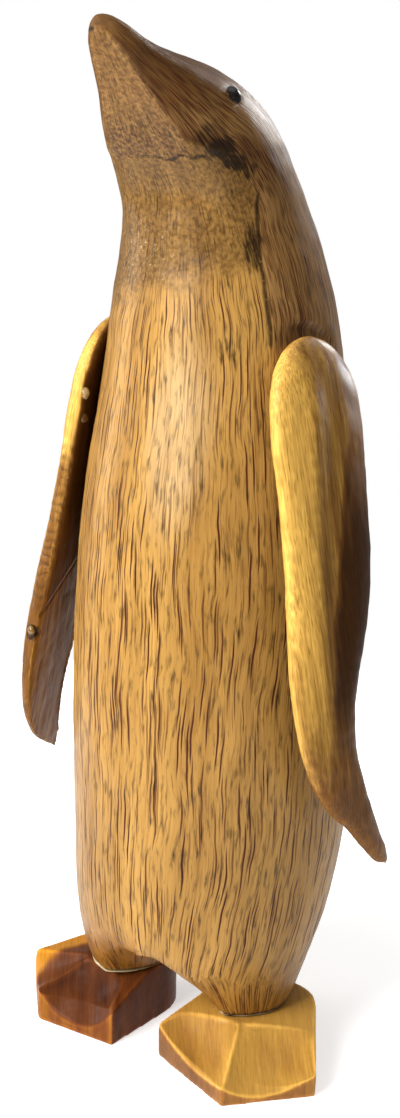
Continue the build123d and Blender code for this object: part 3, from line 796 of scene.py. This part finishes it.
def draw_tip_down(points, height):
    """Draws the left wing's tip down by 8.5 mm at its rear, and presses its last 6 mm together."""
    ahead = points[height < 2, 1].mean() - points[:, 1]
    points[:, 2] -= 8.5 * ease(44, 10, height) * ease(24, 5, ahead)
    points[:, 2] += 0.6 * np.maximum(points[:, 2].min() + 6 - points[:, 2], 0)


def push_tip_up(points, height):
    """Pushes the right wing's last 14 mm together along the blade."""
    lowest = points[height < 3].mean(0)
    centre = points[(height > 13) & (height < 15)].mean(0)
    points += (centre - lowest) / (centre - lowest)[2] * 0.3 * np.maximum(14 - height, 0)[:, None]


# Rubbing a wing's tip before and after its face is shaped: the height in millimetres over the tip, and its rounds
TIP_RUBS = ((26, 6), (18, 8), (11, 12), (6, 8))
LAST_TIP_RUBS = ((13, 10), (5, 16))


class PENGUIN_OT_wings(bpy.types.Operator):
    """Carve both wings from their CAD blanks and paint their wood"""

    bl_idname = "penguin.wings"
    bl_label = "Carve Wings"

    def execute(self, context):
        sizes = context.scene.penguin_sizes
        c = colours()
        material = plank_wood_material(
            "lacquered_two_tone_plank", c.wing_pale, c.wing_mid, c.wing_dark, band=3.2, shine=0.1, pore=0.36
        )
        for hand, side, flare, shape in (("left", 1, 11, shape_left_wing), ("right", -1, 10.2, shape_right_wing)):
            piece = carve_blank(f"{hand}_wing", f"{hand}_wing_blade", sizes.wing_grid, rounds=3)
            points, _ = points_and_normals(piece.data)
            height = points[:, 2] - points[:, 2].min()
            if side > 0:
                draw_tip_down(points, height)
            else:
                push_tip_up(points, height)
            move_points(piece.data, points)
            for top, rounds in TIP_RUBS:
                rub(piece.data, height < top, rounds)
            shape(piece)
            for top, rounds in LAST_TIP_RUBS:
                rub(piece.data, height < top, rounds)
            carve_unevenly(piece, size=12, seed=5)
            points, normals = points_and_normals(piece.data)
            heart = rear_heartwood(points) if side > 0 else right_heartwood(points, normals)
            paint_plank(piece, wing_grain(side, flare), points, heart)
            dress(piece, material, "wing_wood", f"{hand}_wing")
        return {"FINISHED"}


def scoop_web(points, corners, depths):
    """Gouges one web: the corners are its back and front ends at one toe and at the next, the depths its sag
    halfway along and at the front wall, all in millimetres."""
    back, front, next_back, next_front = np.array(corners, float)
    over = np.full((len(points), 1), 0.5)
    along = np.full((len(points), 1), 0.5)
    # Eight steps find each point's place across the web and along it
    for _ in range(8):
        side = back + (front - back) * along
        span = next_back + (next_front - next_back) * along - side
        line = (front - back) * (1 - over) + (next_front - next_back) * over
        place = side + span * over
        gap = points[:, :2] - place[:, :2]
        turn = span[:, 0] * line[:, 1] - span[:, 1] * line[:, 0]
        over[:, 0] += (gap[:, 0] * line[:, 1] - gap[:, 1] * line[:, 0]) / turn
        along[:, 0] += (span[:, 0] * gap[:, 1] - span[:, 1] * gap[:, 0]) / turn
        over, along = np.clip(over, -0.5, 1.5), np.clip(along, -0.5, 1.5)
    halfway, wall = depths
    far = np.clip(along[:, 0], 0, 1)
    sag = (4 * halfway - wall) * far + (2 * wall - 4 * halfway) * far**2
    sag = sag * np.sin(np.pi * np.clip(over[:, 0], 0, 1)) ** 0.8
    found = np.hypot(*(points[:, :2] - place[:, :2]).T) < 0.5
    inside = found & (over[:, 0] > 0) & (over[:, 0] < 1) & (along[:, 0] > 0) & (along[:, 0] < 1.4)
    carved = points.copy()
    carved[:, 2] = np.where(inside, np.minimum(points[:, 2], place[:, 2] - sag), points[:, 2])
    return carved


# Each foot's webs in millimetres: corners, then depths
WEBS = {
    "left": [
        ([(5, -13.5, 17.6), (-1, -25, 13.4), (32, -14.5, 19.3), (42, -41, 7.4)], (5, 2.4)),
        ([(33, -14.5, 19.3), (42.3, -41, 7.4), (55, 5, 16.2), (68.3, -13.5, 9.6)], (4.5, 4.5)),
    ],
    "right": [([(-53, -10, 22.5), (-63, -29, 15), (-26, -13, 22), (-22.5, -29.5, 14)], (6, 5))],
}


class PENGUIN_OT_feet(bpy.types.Operator):
    """Carve both web feet from their CAD blanks and paint their wood"""

    bl_idname = "penguin.feet"
    bl_label = "Carve Feet"

    def execute(self, context):
        sizes = context.scene.penguin_sizes
        c = colours()
        pale = plank_wood_material(
            "lacquered_sapwood_foot", c.foot_pale, c.foot_pale_mid, c.foot_pale_deep, band=5, shine=0.14, pore=0.13
        )
        dark = plank_wood_material(
            "lacquered_heartwood_foot", c.foot_gold, c.foot_dark_mid, c.foot_dark, band=5, shine=0.07, pore=0.15
        )
        grain = [(0.8, 0.6, 0), (0, 0, 0.12), (-0.6, 0.8, 0)]
        for hand, material, slot in (("left", pale, "pale_foot_wood"), ("right", dark, "dark_foot_wood")):
            piece = carve_blank(f"{hand}_foot", f"{hand}_web_foot", sizes.foot_grid, rounds=2)
            points, _ = points_and_normals(piece.data)
            level = points[:, 2]
            for corners, depths in WEBS[hand]:
                points = scoop_web(points, corners, depths)
            hollow = np.clip((level - points[:, 2]) / 5, 0, 1)
            move_points(piece.data, points)
            rub(piece.data, points[:, 2] > 1.5, rounds=3)
            outer_corner = points[:, 0] < -58 if hand == "right" else (points[:, 0] < 5) | (points[:, 0] > 61)
            rub(piece.data, outer_corner, rounds=18, level=True)
            carve_unevenly(piece, size=8, seed=8, share=0.5)
            points, normals = points_and_normals(piece.data)
            x, y, _ = points.T
            # The left foot is painted darker on its steep walls, and darker over its left web as painted shade; the
            # dark foot keeps golden sapwood at its outer rear corner and is paler on its front walls
            if hand == "left":
                heart = 0.5 * ease(0.5, 0.1, normals[:, 2]) + 0.18 * ease(40, 30, x)
            else:
                heart = 0.68 * ease(-66, -54, x - 0.9 * y + rough_field(points, 9, 14) * 3)
                front_wall = ease(0.45, 0.1, normals[:, 2]) * ease(0.3, 0.7, -normals[:, 1])
                heart = heart * (1 - 0.34 * front_wall)
            # Painted shade: the deeper a web is gouged, the darker it is painted
            paint_plank(piece, grain, points, heart + 0.16 * hollow)
            dress(piece, material, slot, f"{hand}_foot")
        return {"FINISHED"}


# Drops of glue inside the right wing in millimetres: places and half sizes
GLUE_DROPS = (
    ((-45.7, -15.6, 269), (1.8, 1.6, 2.4)),
    ((-65.2, -25.6, 171), (1.7, 1.2, 1.9)),
)


class PENGUIN_OT_glue(bpy.types.Operator):
    """Squeeze the glue out of the ankle joints and let it drop inside the right wing"""

    bl_idname = "penguin.glue"
    bl_label = "Squeeze Glue"

    def execute(self, context):
        sizes = context.scene.penguin_sizes
        material = glue_material()
        for hand in ("left", "right"):
            # The bead of glue follows the rubbed leg: its lowest slice, swollen a little
            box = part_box(f"{hand}_ankle_glue")
            top = box[1][2] + 0.9 * MM
            ring = bmesh.new()
            ring.from_mesh(bpy.data.objects["bamboo_root_body"].data)
            other = [v for v in ring.verts if (v.co.x > BETWEEN_LEGS * MM) != (hand == "left") or v.co.z > 60 * MM]
            bmesh.ops.delete(ring, geom=other, context="VERTS")
            faces = ring.verts[:] + ring.edges[:] + ring.faces[:]
            bmesh.ops.bisect_plane(ring, geom=faces, plane_co=(0, 0, top), plane_no=(0, 0, 1), clear_outer=True)
            bmesh.ops.holes_fill(ring, edges=[e for e in ring.edges if e.is_boundary], sides=0)
            mesh = make_mesh(f"{hand}_ankle_glue_line", ring)
            if not mesh.polygons:
                raise RuntimeError(f"the {hand} leg has no slice for its glue")
            for layer in [a.name for a in mesh.attributes if not a.is_required and not a.is_internal]:
                mesh.attributes.remove(mesh.attributes[layer])
            mesh.shade_smooth()
            piece = new_piece(f"{hand}_ankle_glue_line", mesh)
            points, normals = points_and_normals(mesh)
            # The right ankle has a thick cream line on its outer side; the left one's is thin and brown
            outer = ease(-8, -30, points[:, 0]) if hand == "right" else 0 * points[:, 0]
            uneven = (0.5 + 0.4 * rough_field(points, 7, 11)) * (0.6 + 1.6 * outer)
            flat = normals * np.array([1, 1, 0])
            points = points + flat * (uneven * sizes.glue_bulge / MM)[:, None]
            points[:, 2] = np.maximum(points[:, 2] - 0.6, box[0][2] / MM)
            move_points(mesh, points)
            paint(mesh, "cream", 0.5 * outer)
            dress(piece, material, "wood_glue", f"{hand}_ankle_glue")
        runs = bmesh.new()
        for place, size in GLUE_DROPS:
            shift = Matrix.Translation(Vector(place) * MM) @ Matrix.Diagonal(Vector((*size, 1))) @ Matrix.Scale(MM, 4)
            bmesh.ops.create_icosphere(runs, subdivisions=4, radius=1, matrix=shift)
        mesh = make_mesh("right_wing_glue_runs", runs)
        mesh.shade_smooth()
        piece = new_piece("right_wing_glue_runs", mesh)
        points, normals = points_and_normals(mesh)
        move_points(mesh, points + normals * (0.35 * rough_field(points, 1.6, 41))[:, None])
        dress(piece, material, "wood_glue")
        coat(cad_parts["right_wing_glue_drop"], material)
        return {"FINISHED"}


class PENGUIN_OT_eyes(bpy.types.Operator):
    """Finish the bead eyes and the dowels"""

    bl_idname = "penguin.eyes"
    bl_label = "Set Eyes and Dowels"

    def execute(self, context):
        bead, dowel = bead_material(), dowel_material()
        for name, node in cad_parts.items():
            if name.endswith("_eye"):
                coat(node, bead)
            elif name.endswith("_dowel"):
                coat(node, dowel)
        return {"FINISHED"}


# Radius of the floor in metres, and the strength of the studio's light on the wood
FLOOR_RADIUS = 0.55
WOOD_LIGHT = 0.25

# Lights: name, place, aim and size in metres, spread in degrees and power in watts
LIGHTS = (
    ("key_softbox", (-0.26, -1.05, 0.85), (0, 0, 0.33), (0.7, 0.7), 100, 7.6),
    ("left_softbox", (-1.15, -0.25, 0.45), (0, 0, 0.22), (0.4, 0.9), 90, 1.5),
    ("sheen_softbox", (0.05, 1.08, 0.78), (0.02, 0, 0.36), (0.25, 0.3), 24, 0.19),
    ("shoulder_softbox", (0.31, 1.07, 0.48), (0.072, 0.004, 0.268), (0.05, 0.05), 2.6, 0.006),
    ("top_softbox", (0.1, 0.1, 1.6), (0, 0, 0), (1.2, 1.2), 150, 4.2),
)


class PENGUIN_OT_stage(bpy.types.Operator):
    """Lay the floor, hang the lights and stand the camera"""

    bl_idname = "penguin.stage"
    bl_label = "Set Stage"

    def execute(self, context):
        scene = context.scene
        stage = scene.penguin_stage
        # A round paper floor, just large enough for the shadow, so that it doesn't veil dark wood
        sheet = bmesh.new()
        bmesh.ops.create_circle(sheet, cap_ends=True, segments=128, radius=FLOOR_RADIUS)
        mesh = make_mesh("studio_floor", sheet)
        mesh.materials.append(floor_material())
        floor = bpy.data.objects.new("studio_floor", mesh)
        scene.collection.objects.link(floor)

        for name, place, aim, size, spread, power in LIGHTS:
            lamp = bpy.data.lights.new(name, "AREA")
            lamp.shape = "RECTANGLE"
            lamp.size, lamp.size_y = size
            lamp.energy = power
            lamp.spread = math.radians(spread)
            light = bpy.data.objects.new(name, lamp)
            light.location = place
            light.rotation_euler = (Vector(aim) - Vector(place)).to_track_quat("-Z", "Y").to_euler()
            scene.collection.objects.link(light)

        # Plain white all round for the eye, and a much dimmer light on the wood
        world = bpy.data.worlds.new("studio_air")
        scene.world = world
        world.use_nodes = True
        tree = world.node_tree
        tree.nodes.clear()
        add = partial(add_node, tree)
        seen = add("LightPath").outputs["Is Camera Ray"]
        white = add("Background", {"Color": (1, 1, 1, 1), "Strength": 1})
        dim = add("Background", {"Color": (1, 1, 1, 1), "Strength": WOOD_LIGHT})
        air = add("MixShader", {0: seen, 1: dim, 2: white})
        add("OutputWorld", {"Surface": air})
        scene.view_settings.view_transform = "Standard"

        camera = bpy.data.objects.new("camera", bpy.data.cameras.new("camera"))
        camera.data.sensor_width = 36
        camera.data.lens = stage.lens
        camera.data.shift_x = stage.shift
        camera.data.clip_start = 0.01
        stand = Matrix.Translation((stage.axis_x, stage.axis_y, 0)) @ Matrix.Rotation(stage.turn, 4, "Z")
        stand = stand @ Matrix.Translation((0, -stage.distance, stage.height))
        camera.matrix_world = (
            stand @ Matrix.Rotation(math.pi / 2 - stage.tilt, 4, "X") @ Matrix.Rotation(stage.roll, 4, "Z")
        )
        scene.collection.objects.link(camera)
        scene.camera = camera
        return {"FINISHED"}


class PENGUIN_PT_panel(bpy.types.Panel):
    """Lists the penguin's pieces, sizes and colours"""

    bl_idname = "PENGUIN_PT_panel"
    bl_label = "Carved Penguin"
    bl_space_type = "VIEW_3D"
    bl_region_type = "UI"
    bl_category = "Penguin"

    def draw(self, context):
        scene = context.scene
        for operator in OPERATORS:
            self.layout.operator(operator.bl_idname)
        for group in (scene.penguin_sizes, scene.penguin_colours, scene.penguin_stage):
            column = self.layout.column()
            for name in group.__annotations__:
                column.prop(group, name)


OPERATORS = (
    PENGUIN_OT_body,
    PENGUIN_OT_wings,
    PENGUIN_OT_feet,
    PENGUIN_OT_glue,
    PENGUIN_OT_eyes,
    PENGUIN_OT_stage,
)
GROUPS = {"penguin_sizes": PenguinSizes, "penguin_colours": PenguinColours, "penguin_stage": PenguinStage}


def register():
    """Adds the penguin's classes and settings to Blender."""
    for kind in (*GROUPS.values(), *OPERATORS, PENGUIN_PT_panel):
        bpy.utils.register_class(kind)
    for name, kind in GROUPS.items():
        setattr(bpy.types.Scene, name, bpy.props.PointerProperty(type=kind))


def unregister():
    """Takes them out again."""
    for name in GROUPS:
        delattr(bpy.types.Scene, name)
    for kind in reversed((*GROUPS.values(), *OPERATORS, PENGUIN_PT_panel)):
        bpy.utils.unregister_class(kind)


def main():
    """Makes the penguin and its stage."""
    register()
    bpy.ops.penguin.body()
    bpy.ops.penguin.wings()
    bpy.ops.penguin.feet()
    bpy.ops.penguin.glue()
    bpy.ops.penguin.eyes()
    bpy.ops.penguin.stage()


if __name__ == "__main__":
    main()
